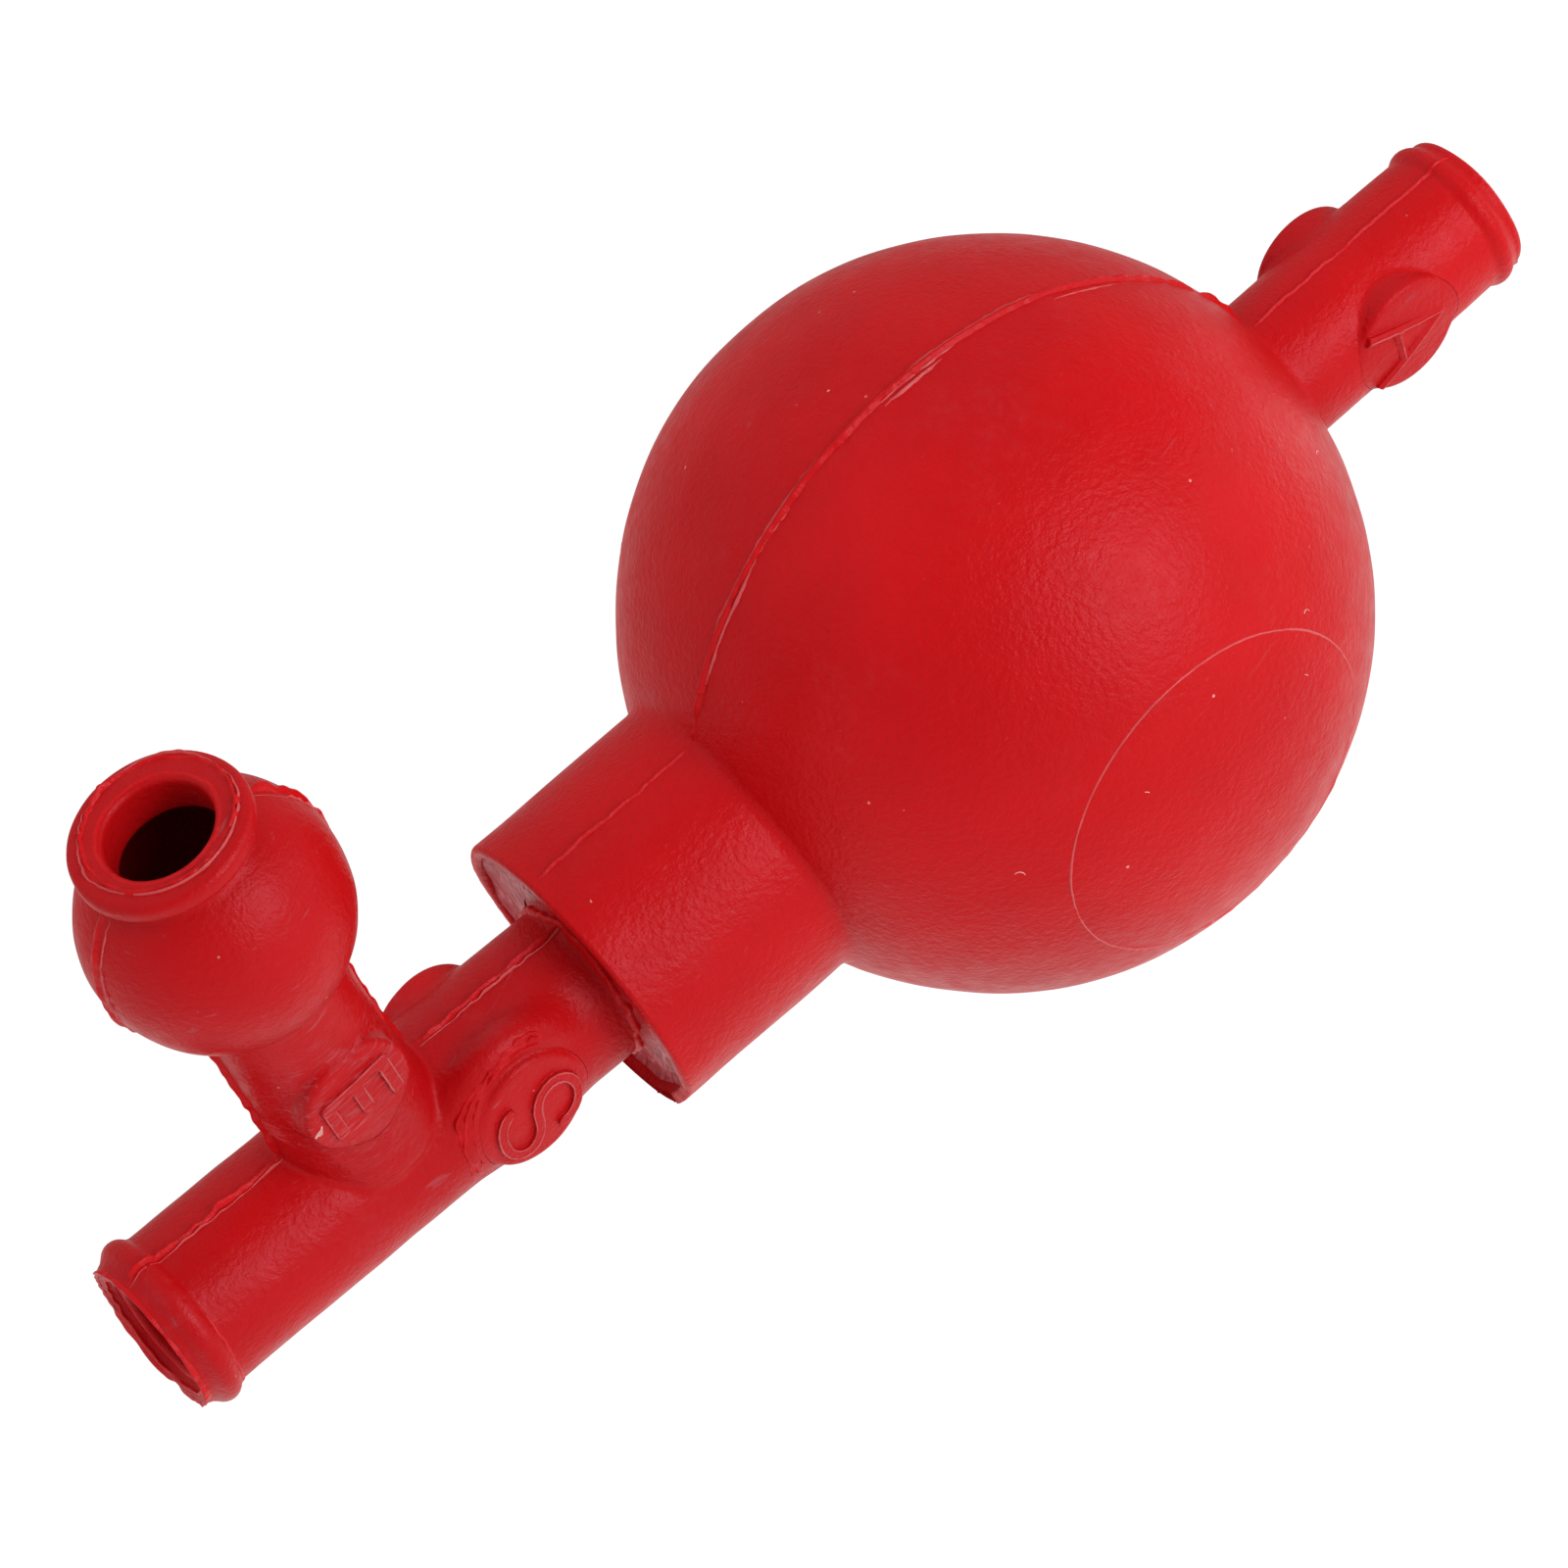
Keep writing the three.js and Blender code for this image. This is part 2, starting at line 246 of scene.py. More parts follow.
def chamber(along, radial, at):
    return bar(along, radial, at - CHAMBER_LENGTH / 2, at + CHAMBER_LENGTH / 2, CHAMBER_RADIUS)


def pad_wall(letter, u, v, h):
    """Distance to the button's side: upright, or for E a cone that narrows to an oval face."""
    radius = PAD_RADII[letter] - (0.3 if letter == "E" else 0.12)
    if letter != "E":
        return np.hypot(u, v) - radius
    below = PAD_HEIGHTS["E"] - h
    wide_u = np.minimum(4.3 + 0.4 * below, radius)
    return (np.hypot(u / wide_u, v / radius) - 1) * wide_u


def face_height(letter, u, v, z):
    """Height of a button's slightly domed face: lower by the letter's relief on top."""
    relief = np.where(z > 0, STROKE_HEIGHTS[letter], 0)
    return PAD_HEIGHTS[letter] - relief - 0.010 * (u * u + v * v)


def with_buttons(body, letter, along, across, z):
    """A tube with a valve's two round buttons, filleted into it."""
    u, v, h = along - VALVES[letter], across - SIDES[letter], np.abs(z)
    button = carved(pad_wall(letter, u, v, h), face_height(letter, u, v, z) - h, 0.6)
    return joined(body, button, FILLETS[letter])


def bulb_field(p, fine=True, pockets=True):
    x, y, z = p.T
    radial = np.hypot(y, z)
    body = np.sqrt(x * x + radial * radial) - BULB_RADIUS
    neck = bar(x, radial, -NECK_END + 0.9, -20, NECK_RADIUS - 0.05)
    neck = joined(neck, ring(x, radial, -NECK_BEAD, NECK_RADIUS - 0.65, 1.05), 0.3)
    neck = joined(neck, ring(x, radial, -NECK_END + 0.6, NECK_RADIUS - 0.7, 0.6), 0.2)
    body = joined(body, neck, 0.7)
    body = with_buttons(body, "A", x, y, z)
    far_side = smooth((y / np.maximum(radial, 1) - 0.35) / 0.45)
    tongue = COLLAR_TONGUE * far_side * smooth((x - 36) / 7)
    body = joined(body, bar(x - tongue, radial, 5, COLLAR_END, COLLAR_RADIUS, 0.3), 0.7)
    if fine:
        body = body + 0.10 * waves(p, 26, 3) + 0.035 * waves(p, 7, 4)
        near_end = smooth((x - 36) / 8)
        body = body + near_end * 0.12 * waves(p, 9, 5)
    body = carved(body, bar(x, radial, PLUG_START, 60, COLLAR_BORE, 0.2), 0.35)
    body = carved(body, bar(x, radial, -70, NECK_MOUTH_DEPTH - NECK_END, NECK_MOUTH_RADIUS), 0.5)
    body = carved(body, bar(x, radial, -50, -33, CHANNEL_RADIUS), 0.3)
    body = carved(body, chamber(x, radial, VALVES["A"]), 0.3)
    return carved(body, pocket(x, y, z, "A"), 0.1) if pockets else body


def whole(field):
    """The same moulding before the pads' pockets are cut."""
    return lambda points, fine=True, pockets=True: field(points, fine, False)


def branch_outside(q):
    b, across, z = q.T
    radial = np.hypot(across, z)
    flare = (BRANCH_ROOT_RADIUS - BRANCH_RADIUS) * (1 - smooth(b / 16))
    tube = bar(b, radial - flare, 3.0, 30, BRANCH_RADIUS, 1.3)
    tube = joined(tube, bar(b, radial, -2, 9, 4.5), 0.5)
    blow = np.sqrt((b - BLOW_CENTRE) ** 2 + radial * radial) - BLOW_RADIUS
    blow = joined(blow, bar(b, radial, 38, MOUTH_END - 0.8, MOUTH_RIM_RADIUS - 1.1), 0.5)
    rim = bar(b, radial, MOUTH_END - 1.9, MOUTH_END, MOUTH_RIM_RADIUS, 0.75)
    return joined(joined(tube, blow, 0.9), rim, 0.35)


def branch_inside(q):
    b, across, z = q.T
    radial = np.hypot(across, z)
    hollow = np.sqrt((b - BLOW_CENTRE) ** 2 + radial * radial) - BLOW_RADIUS + BLOW_WALL
    hollow = joined(hollow, bar(b, radial, 36, 60, MOUTH_HOLE_RADIUS), 0.4)
    hollow = joined(hollow, bar(b, radial, 4, 28, CHANNEL_RADIUS), 0.4)
    return joined(hollow, chamber(b, radial, VALVES["E"]), 0.3)


def stem_field(p, fine=True, pockets=True):
    x, y, z = p.T
    radial = np.hypot(y, z)
    body = bar(x, radial, STEM_START, STEM_END - 0.7, STEM_RADIUS - 0.1)
    body = joined(body, ring(x, radial, STEM_BEAD, STEM_RADIUS - 0.6, 1.2), 0.3)
    body = joined(body, ring(x, radial, STEM_END - 0.6, STEM_RADIUS - 0.9, 0.6), 0.25)
    q = in_branch(p)
    away = np.hypot(x - VALVES["S"], y)
    mound = np.hypot(away - 5.8, z - 4.5) - 1.6 * smooth((1.5 + 0.35 * (x - VALVES["S"]) - y) / 5)
    body = joined(body, mound, 1.8)
    body = with_buttons(body, "S", x, y, z)
    body = joined(body, with_buttons(branch_outside(q), "E", *q.T), 0.55)
    plug = in_pump(p)
    plug_radial = np.hypot(plug[:, 1], plug[:, 2])
    plug = bar(plug[:, 0], plug_radial, PLUG_START + 0.3, PLUG_FACE, PLUG_RADIUS, 0.5)
    body = joined(body, plug, 1.6)
    if fine:
        body = body + 0.09 * waves(p, 14, 6) + 0.03 * waves(p, 4.5, 7)
        root = smooth(1 - np.hypot(x - BRANCH_ROOT, y + 9) / 14)
        body = body + root * 0.07 * waves(p, 1.9, 8)
    body = carved(body, bar(x, radial, STEM_END - SOCKET_DEPTH, 99, SOCKET_RADIUS), 0.5)
    body = carved(body, bar(x, radial, 36, 75, CHANNEL_RADIUS), 0.3)
    body = carved(body, chamber(x, radial, VALVES["S"]), 0.3)
    body = carved(body, branch_inside(q), 0.7)
    if not pockets:
        return body
    body = carved(body, pocket(x, y, z, "S"), 0.1)
    return carved(body, pocket(*q.T, "E"), 0.1)


# ---- letters on the pads
def arc(centre, radii, start, end, steps=16):
    angles = np.radians(np.linspace(start, end, steps))
    rights = centre[0] + radii[0] * np.cos(angles)
    ups = centre[1] + radii[1] * np.sin(angles)
    return list(zip(rights, ups))


def letter_strokes(letter):
    """Lines of (right, up) points in the pad's plane."""
    if letter == "A":
        return [[(-2.9, -3.8), (-0.2, 3.4), (2.7, -3.8)], [(-1.7, -1.1), (1.6, -1.1)]]
    if letter == "S":
        upper = arc((0.5, 1.85), (2.35, 2.0), -5, 270)
        return [upper + arc((0.5, -1.85), (2.45, 1.7), 90, -170)[1:]]
    spine = [(-1.7, -2.6), (-1.7, 2.8)]
    arms = ((-2.6, 1.6), (0.1, 1.1), (2.8, 2.0))
    return [spine] + [[(-1.7, up), (end, up)] for up, end in arms]


def stroke_distance(right, up, strokes):
    nearest = np.full(right.shape, 99.0)
    for line in strokes:
        for (x0, y0), (x1, y1) in zip(line, line[1:]):
            dx, dy = x1 - x0, y1 - y0
            t = np.clip(((right - x0) * dx + (up - y0) * dy) / (dx * dx + dy * dy), 0, 1)
            nearest = np.minimum(nearest, np.hypot(right - x0 - t * dx, up - y0 - t * dy))
    return nearest


def pad_field(letter, upside):
    """A saddle-footed button cut out of its tube, in the frame of the pad's axis."""
    home_field = bulb_field if letter == "A" else stem_field
    lettered = upside == 1

    def field(p, fine=True, pockets=True):
        u, v, h = p.T
        home = np.stack([VALVES[letter] + u, SIDES[letter] + v * upside, h * upside], 1)
        body = home_field(from_branch(home) if letter == "E" else home, fine, False)
        if lettered:
            top = face_height(letter, u, v, h) + STROKE_HEIGHTS[letter]
            right, up = (-u, -v) if letter == "E" else (v, -u)
            near = stroke_distance(right, up, letter_strokes(letter))
            wedge = 0.5 * near if letter == "A" else 0
            stroke = np.maximum(near - STROKE_WIDTHS[letter] / 2, pad_wall(letter, u, v, h) + 0.25)
            body = joined(body, carved(stroke, top - wedge - h, 0.06), 0.05)
        if fine and letter == "E":
            grooves = waves(p * np.array([1.0, 0.12, 0.3]), 0.75, 13, 12)
            body = body + 0.03 * grooves * smooth((h - 5.2) / 1.5)
        if not pockets:
            return body
        body = carved(body, PAD_RADII[letter] - np.hypot(u, v), 0.05)
        body = carved(body, h - PAD_FOOT, 0.2)
        return carved(body, np.hypot(SIDES[letter] + v * upside, h) - PAD_SADDLE, 0.2)

    return field


# ---- skins
def slope(field, points, fine=True, pockets=True, step=0.05):
    columns = []
    for axis in range(3):
        shift = np.zeros(3)
        shift[axis] = step
        ahead = field(points + shift, fine, pockets)
        columns.append((ahead - field(points - shift, fine, pockets)) / (2 * step))
    return np.stack(columns, 1)


def settled(field, points, fine=True, rounds=3):
    """Points moved onto the field's surface, along its slope where they start."""
    gradient = slope(field, points, fine)
    gradient /= np.maximum((gradient ** 2).sum(1), 0.05)[:, None]
    for _ in range(rounds):
        points = points - gradient * np.clip(field(points, fine), -0.4, 0.4)[:, None]
    return points


def sampled(field, grids):
    xs, ys, zs = grids
    slab = np.stack(np.meshgrid(ys, zs, indexing="ij"), -1).reshape(-1, 2)
    values = np.empty((len(xs), len(ys), len(zs)), np.float32)
    for i, x in enumerate(xs):
        points = np.column_stack([np.full(len(slab), x), slab])
        values[i] = field(points, False).reshape(len(ys), len(zs))
    return values


def crossing_points(values, cells, corners, grids):
    """The middle, in each cell, of the places where the skin crosses the cell's edges."""
    total = np.zeros((len(cells), 3))
    crossings = np.zeros(len(cells))
    for a in corners:
        for b in corners:
            if sum(b) != sum(a) + 1 or any(q < p for p, q in zip(a, b)):
                continue
            at_a, at_b = cells + a, cells + b
            va = values[tuple(at_a.T)].astype(float)
            vb = values[tuple(at_b.T)].astype(float)
            cross = (va < 0) != (vb < 0)
            t = np.where(cross, va / np.where(cross, va - vb, 1), 0)[:, None]
            pa = np.column_stack([grid[at_a[:, k]] for k, grid in enumerate(grids)])
            pb = np.column_stack([grid[at_b[:, k]] for k, grid in enumerate(grids)])
            total += np.where(cross[:, None], pa + t * (pb - pa), 0)
            crossings += cross
    return total / crossings[:, None]


def crossing_quads(inside, index):
    """A face for each grid edge that the skin crosses, between the four cells round it."""
    quads = []
    for axis in range(3):
        turn = np.diff(inside.astype(np.int8), axis=axis)
        ea, eb = np.eye(3, dtype=int)[(axis + 1) % 3], np.eye(3, dtype=int)[(axis + 2) % 3]
        at = np.argwhere(turn)
        at = at[((at - ea - eb) >= 0).all(1) & (at < index.shape).all(1)]
        loop = np.stack([index[tuple((at - d).T)] for d in (ea + eb, eb, 0 * ea, ea)], 1)
        outward = turn[tuple(at.T)] < 0
        quads.append(np.where(outward[:, None], loop, loop[:, ::-1]))
    return np.concatenate(quads)


def net(field, grids):
    """Vertices and quads of a surface net: one vertex in each cell that the skin crosses."""
    values = sampled(field, grids)
    inside = values < 0
    corners = [(a, b, c) for a in (0, 1) for b in (0, 1) for c in (0, 1)]
    index = np.full([n - 1 for n in values.shape], -1, np.int32)
    nx, ny, nz = index.shape
    count = sum(inside[a:a + nx, b:b + ny, c:c + nz].astype(np.int8) for a, b, c in corners)
    cells = np.argwhere((count > 0) & (count < 8))
    index[tuple(cells.T)] = np.arange(len(cells))
    return crossing_points(values, cells, corners, grids), crossing_quads(inside, index)


def relaxed(points, quads):
    """Each vertex moved half way to the middle of its neighbours."""
    start = quads.ravel()
    end = np.roll(quads, -1, axis=1).ravel()
    count = np.bincount(start, minlength=len(points))
    mean = np.stack([np.bincount(start, points[end, k], len(points)) for k in range(3)], 1)
    return (points + mean / np.maximum(count, 1)[:, None]) / 2


def crisp(field, points, gradient, rim, radius, reach):
    """Brings the vertices beside a pad's rim exactly onto it, so that the joint is clean.

    `rim` gives the two directions and the centre of the circle, seen along the pad's axis.
    """
    first, second, centre = rim

    def seen(where):
        return np.stack([where @ first, where @ second], 1) - centre

    flat = seen(points)
    off = np.hypot(*flat.T) - radius
    lifted = np.abs(points @ np.cross(first, second)) > PAD_FOOT
    near = np.flatnonzero((np.abs(off) < reach) & lifted)
    near = near[np.abs(field(points[near], True, False)) < reach]
    for _ in range(3):
        away = flat[near] / np.hypot(*flat[near].T)[:, None]
        shift = (np.hypot(*flat[near].T) - radius)[:, None] * away
        moved = points[near] - shift[:, :1] * first - shift[:, 1:] * second
        lean = slope(field, moved, True, False)
        lean /= np.maximum((lean ** 2).sum(1), 0.05)[:, None]
        points[near] = moved - lean * field(moved, True, False)[:, None]
        flat[near] = seen(points[near])
    gradient[near] = slope(field, points[near], True, False)


def skin(field, grids, rounds=2, rims=()):
    points, quads = net(field, grids)
    for _ in range(rounds):
        points = settled(field, relaxed(points, quads), False, 2)
    points = settled(field, points)
    gradient = slope(field, points)
    for rim in rims:
        crisp(field, points, gradient, *rim)
    return points, quads, gradient / np.maximum(np.linalg.norm(gradient, axis=1), 1e-6)[:, None]


def steps(*stops):
    """Grid lines through (start, spacing), (start, spacing), ..., (end, None)."""
    lines = []
    for (start, spacing), (end, _) in zip(stops, stops[1:]):
        count = max(2, round((end - start) / spacing))
        lines.append(np.linspace(start, end, count, endpoint=False))
    return np.append(np.concatenate(lines), stops[-1][0])


def mesh_object(name, place, points, faces, normals=None):
    mesh = bpy.data.meshes.new(name)
    mesh.from_pydata(place.out(points).tolist(), [], faces.tolist())
    mesh.polygons.foreach_set("use_smooth", np.ones(len(mesh.polygons), bool))
    if normals is not None:
        mesh.normals_split_custom_set_from_vertices(place.turn(normals).tolist())
    obj = bpy.data.objects.new(name, mesh)
    bpy.context.scene.collection.objects.link(obj)
    return obj


def part_of(name, place, made, chosen):
    """The chosen faces of a skin as an object of their own."""
    points, quads, normals = made
    faces = quads[chosen]
    used = np.unique(faces)
    renumber = np.zeros(len(points), int)
    renumber[used] = np.arange(len(used))
    return mesh_object(name, place, points[used], renumber[faces], normals[used])


def finish_piece(obj, material, slot, *nodes):
    obj.data.materials.append(material)
    if nodes:
        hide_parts(*nodes)
    return obj


# ---- ridges
# A fin's cross-section: sideways and up, in half widths and heights.
FIN = ((-1, -0.25), (-0.62, 0.25), (-0.25, 0.85), (0.05, 1), (0.3, 0.8), (0.62, 0.22), (1, -0.25))


def ridge(name, place, field, path, width, height, seed, ragged=0.35, wander=0.1):
    """A fin of flash along a path on the skin, uneven in height, width and line."""
    path = np.asarray(path, float)
    path = settled(field, path)
    normal = slope(field, path, step=0.15)
    normal /= np.linalg.norm(normal, axis=1)[:, None]
    along = np.gradient(path, axis=0)
    along /= np.maximum(np.linalg.norm(along, axis=1), 1e-9)[:, None]
    side = np.cross(along, normal)
    rough = waves(path, 1.3, seed)[:, None]
    slow = waves(path, 6, seed + 50)[:, None]
    ends = np.minimum(np.arange(len(path)), np.arange(len(path))[::-1])
    taper = smooth(ends / 5)[:, None]
    tall = height * (1 + ragged * (rough + slow)) * taper
    half = width / 2 * (1 + 0.5 * ragged * slow) * (0.4 + 0.6 * taper)
    middle = path + side * wander * (0.6 * rough + slow)
    rows = [middle + side * half * a + normal * np.maximum(tall, 0.02) * b for a, b in FIN]
    points = np.stack(rows, 1).reshape(-1, 3)
    across = len(FIN)
    first = (np.arange(len(path) - 1)[:, None] * across + np.arange(across - 1)).ravel()
    faces = np.stack([first, first + 1, first + across + 1, first + across], 1)
    return mesh_object(name, place, points, faces)


# ---- materials
class Nodes:
    """The nodes of a material or a world, and short ways to add some and link them."""

    def __init__(self, owner, shader, coordinates):
        owner.use_nodes = True
        self.owner = owner
        self.tree = owner.node_tree
        self.shader = self.tree.nodes[shader]
        self.coordinates = self.add("ShaderNodeTexCoord").outputs[coordinates]

    def feed(self, socket, value):
        if isinstance(value, bpy.types.NodeSocket):
            self.tree.links.new(value, socket)
        else:
            socket.default_value = value

    def add(self, kind, inputs=None, **settings):
        node = self.tree.nodes.new(kind)
        for key, value in settings.items():
            setattr(node, key, value)
        for key, value in (inputs or {}).items():
            self.feed(node.inputs[key], value)
        return node

    def set(self, **inputs):
        for key, value in inputs.items():
            self.feed(self.shader.inputs[key.replace("_", " ")], value)

    def noise(self, scale, detail=3.0, roughness=0.5, distortion=0.0, at=None):
        return self.add(
            "ShaderNodeTexNoise",
            {"Vector": at or self.coordinates, "Scale": scale, "Detail": detail,
             "Roughness": roughness, "Distortion": distortion},
        ).outputs["Fac"]

    def towards(self, vector):
        """How far the coordinates go along a vector."""
        inputs = {0: self.coordinates, 1: tuple(vector)}
        return self.add("ShaderNodeVectorMath", inputs, operation="DOT_PRODUCT").outputs["Value"]

    def turned(self, axes, scales):
        """Coordinates along three axes of the object's own, each with its scale."""
        parts = [self.towards(axis * scale) for axis, scale in zip(axes, scales)]
        return self.add("ShaderNodeCombineXYZ", dict(zip("XYZ", parts))).outputs["Vector"]

    def ramp(self, value, low, high, start=0.0, end=1.0, kind="LINEAR"):
        return self.add(
            "ShaderNodeMapRange",
            {"Value": value, "From Min": low, "From Max": high, "To Min": start, "To Max": end},
            interpolation_type=kind,
        ).outputs["Result"]

    def times(self, a, b):
        return self.add("ShaderNodeMath", {0: a, 1: b}, operation="MULTIPLY").outputs[0]

    def mix(self, share, a, b):
        return self.add("ShaderNodeMix", {0: share, 6: a, 7: b}, data_type="RGBA").outputs[2]

    def bump(self, height, distance, strength=1.0, normal=None):
        inputs = {"Height": height, "Distance": distance, "Strength": strength}
        if normal is not None:
            inputs["Normal"] = normal
        return self.add("ShaderNodeBump", inputs).outputs["Normal"]


def new_material(name):
    return Nodes(bpy.data.materials.new(name), "Principled BSDF", "Object")


def mottled_red(n, wear, tint, bloom):
    """Deep and bright red in clouds, with a chalky bloom and pale dust specks."""
    deep = (0.46 * tint, 0.0028, 0.0040, 1)
    bright = (0.56 * tint, 0.0042, 0.0056, 1)
    dust = (0.85, 0.45, 0.42, 1)
    colour = n.mix(n.ramp(n.noise(60, 4), 0.3, 0.7), deep, bright)
    patches = n.ramp(n.noise(95, 5, 0.6), 0.56, 0.80, 0.0, 0.30 * wear)
    cloud = n.ramp(n.noise(1400, 3, 0.6), 0.45, 0.75, 0.2, 1.0)
    colour = n.mix(n.times(patches, cloud), colour, bloom)
    speck = n.add("ShaderNodeTexVoronoi", {"Vector": n.coordinates, "Scale": 420.0})
    chosen = n.ramp(n.noise(900, 1), 0.64 - 0.04 * wear, 0.70 - 0.04 * wear)
    specks = n.times(n.ramp(speck.outputs["Distance"], 0.02, 0.07, 1.0, 0.0), chosen)
    return n.mix(n.times(specks, 0.8 * min(1.0, wear)), colour, dust)


def scuffing(n, wear):
    """Where fine scuffs lie, stretched along one skew direction."""
    stretched = n.add(
        "ShaderNodeMapping",
        {"Vector": n.coordinates, "Scale": (90, 900, 500), "Rotation": (0.4, 0.7, 1.1)},
    ).outputs["Vector"]
    scratches = n.noise(1.0, 3, 0.6, 1.5, stretched)
    return n.ramp(scratches, 0.73 - 0.03 * wear, 0.80 - 0.03 * wear, 0.0, 0.35 * wear)


def tool_marks(n, origin, axes):
    """Where tool marks lie: only near the origin, and along the second axis."""
    away = n.add(
        "ShaderNodeVectorMath", {0: n.coordinates, 1: tuple(origin)}, operation="DISTANCE"
    ).outputs["Value"]
    lines = n.noise(1.0, 3, 0.6, 0.6, n.turned(axes, (4200, 420, 1500)))
    return n.times(n.ramp(lines, 0.52, 0.68), n.ramp(away, 0.0045, 0.0085, 1.0, 0.0))


def rubber(name, wear=1.0, grain=1.0, gloss=0.46, tint=1.0, pale=0.0, shine=0.16, marked=None):
    """Matt red natural rubber: orange peel, chalky bloom, dust specks and fine scuffs.

    `marked` is an origin in metres and three axes, for tool marks.
    """
    n = new_material(name)
    bloom = (0.46 * tint, 0.06, 0.075, 1)
    colour = mottled_red(n, wear, tint, bloom)
    scuffs = scuffing(n, wear)
    colour = n.mix(scuffs, colour, bloom)
    normal = n.bump(n.noise(1750, 2, 0.55), 0.00010 * grain)
    normal = n.bump(n.noise(4200, 2, 0.6), 0.000035 * grain, 1.0, normal)
    normal = n.bump(scuffs, 0.00005, 0.6, normal)
    if marked:
        marks = tool_marks(n, *marked)
        # The tool marks get a paler pink: partly scuffed rubber, partly a painted glint along the
        # marks.
        colour = n.mix(n.times(marks, 0.5), colour, (0.62, 0.10, 0.115, 1))
        normal = n.bump(marks, 0.00005, 1.0, normal)
    colour = n.mix(pale, colour, (0.80, 0.34, 0.34, 1))
    rough = n.ramp(n.noise(700, 4), 0.3, 0.7, gloss - 0.05, gloss + 0.09)
    n.set(Base_Color=colour, Roughness=rough, Normal=normal)
    n.set(Specular_IOR_Level=shine, Specular_Tint=(1.0, 0.84, 1.0, 1))
    return n.owner


def dried_cement(name):
    """Rubber cement dried to a glossy, trowelled, pinkish film, with painted shade in its
    crevices.
    """
    n = new_material(name)
    blotches = n.noise(260, 3, 0.5, 0.8)
    fine = n.noise(1.0, 3, 0.5, 0.8, n.turned(PUMP.axes, (300, 300, 1400)))
    streak_depth_and_shade = n.times(n.ramp(blotches, 0.3, 0.6, 0.35, 1.0), n.ramp(fine, 0.35, 0.6))
    # Painted shade: the film is darkest where the streaks sink into crevices, and pink where they
    # stand up.
    colour = n.mix(streak_depth_and_shade, (0.33, 0.014, 0.019, 1), (0.58, 0.12, 0.135, 1))
    normal = n.bump(streak_depth_and_shade, 0.00012)
    n.set(Base_Color=colour, Roughness=n.ramp(streak_depth_and_shade, 0.2, 0.8, 0.42, 0.3), Normal=normal)
    n.set(Specular_IOR_Level=0.15, Specular_Tint=(1.0, 0.6, 0.65, 1))
    return n.owner


def glass(name):
    n = new_material(name)
    haze = n.ramp(n.noise(900, 3), 0.4, 0.7, 0.02, 0.12)
    n.set(Base_Color=(0.92, 0.96, 0.95, 1), Roughness=haze, Transmission_Weight=1.0, IOR=1.5)
    return n.owner


def lint(name):
    n = new_material(name)
    colour = n.mix(n.ramp(n.noise(3000, 2), 0.4, 0.6), (0.75, 0.30, 0.28, 1), (0.85, 0.55, 0.5, 1))
    n.set(Base_Color=colour, Roughness=0.7)
    return n.owner


BULB_RUBBER = rubber("bulb_rubber_satin", grain=1.1, gloss=0.35, shine=0.14)
BRANCH_FOOT = (BRANCH.out((VALVES["E"], 0, PAD_HEIGHTS["E"])), BRANCH.axes)
STEM_RUBBER = rubber("stem_rubber_scuffed", 1.7, 0.9, 0.35, 0.88, shine=0.14, marked=BRANCH_FOOT)
PAD_RUBBER = rubber("pad_rubber", 2.2, 1.0, 0.38, 0.92, marked=BRANCH_FOOT)
FLASH_RUBBER = rubber("flash_rubber", wear=1.9, gloss=0.36, tint=1.05)
LINE_RUBBER = rubber("mould_line_rubber", wear=3.0, gloss=0.40, tint=1.1, pale=0.05)
# Pale rubber of torn burrs and crusts; along the letters' outlines, the A's crests and the stem
# flash's edge its paleness is also a painted highlight.
PALE_BURR_AND_HIGHLIGHT_RUBBER = rubber("pale_burr_and_highlight_rubber", wear=1.0, gloss=0.30, shine=0.3, pale=0.2)
# A darker copy of the rubber for the blow bulb's inside: painted shade for the deep hollow that
# the lamps barely reach.
LINING_RUBBER_PAINTED_SHADE = rubber("lining_rubber_painted_shade", wear=0.5, tint=0.5)
CEMENT = dried_cement("rubber_cement_film")
GLASS = glass("ball_glass")
LINT = lint("lint")


# ---- mouldings
def bulb_ends(side):
    """Where the blend of a squeezed side of the bulb starts and ends."""
    return [PUMP.out((0, side * stop, 0)) for stop in BULB_CAP]


def blow_ends(side, stops=BLOW_CAP):
    return [BRANCH.out((BLOW_CENTRE, side * stop, 0)) for stop in stops]


def bulb_skin():
    across = steps((-31, 0.55), (-14, 0.32), (-6.6, 0.22), (6.6, 0.32), (14, 0.55), (31, None))
    lengthwise = steps((-53.4, 0.24), (-28, 0.55), (25.5, 0.3), (44.6, None))
    rim = ((*np.eye(3)[:2], (VALVES["A"], 0)), pocket_radius("A"), 0.3)
    made = skin(bulb_field, (lengthwise, across, across), rims=[rim])
    height = made[0][:, 1][made[1]].mean(1)
    for name, side in FRONT_AND_BACK:
        cap = part_of(f"bulb_skin_{name}", PUMP, made, height * side > BULB_CAP[0])
        finish_piece(cap, BULB_RUBBER, "bulb_rubber", f"bulb_panel_{name}")
        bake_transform(cap)
    body = part_of("bulb_skin", PUMP, made, np.abs(height) <= BULB_CAP[0])
    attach(finish_piece(body, BULB_RUBBER, "bulb_rubber", "bulb_body"), "root")


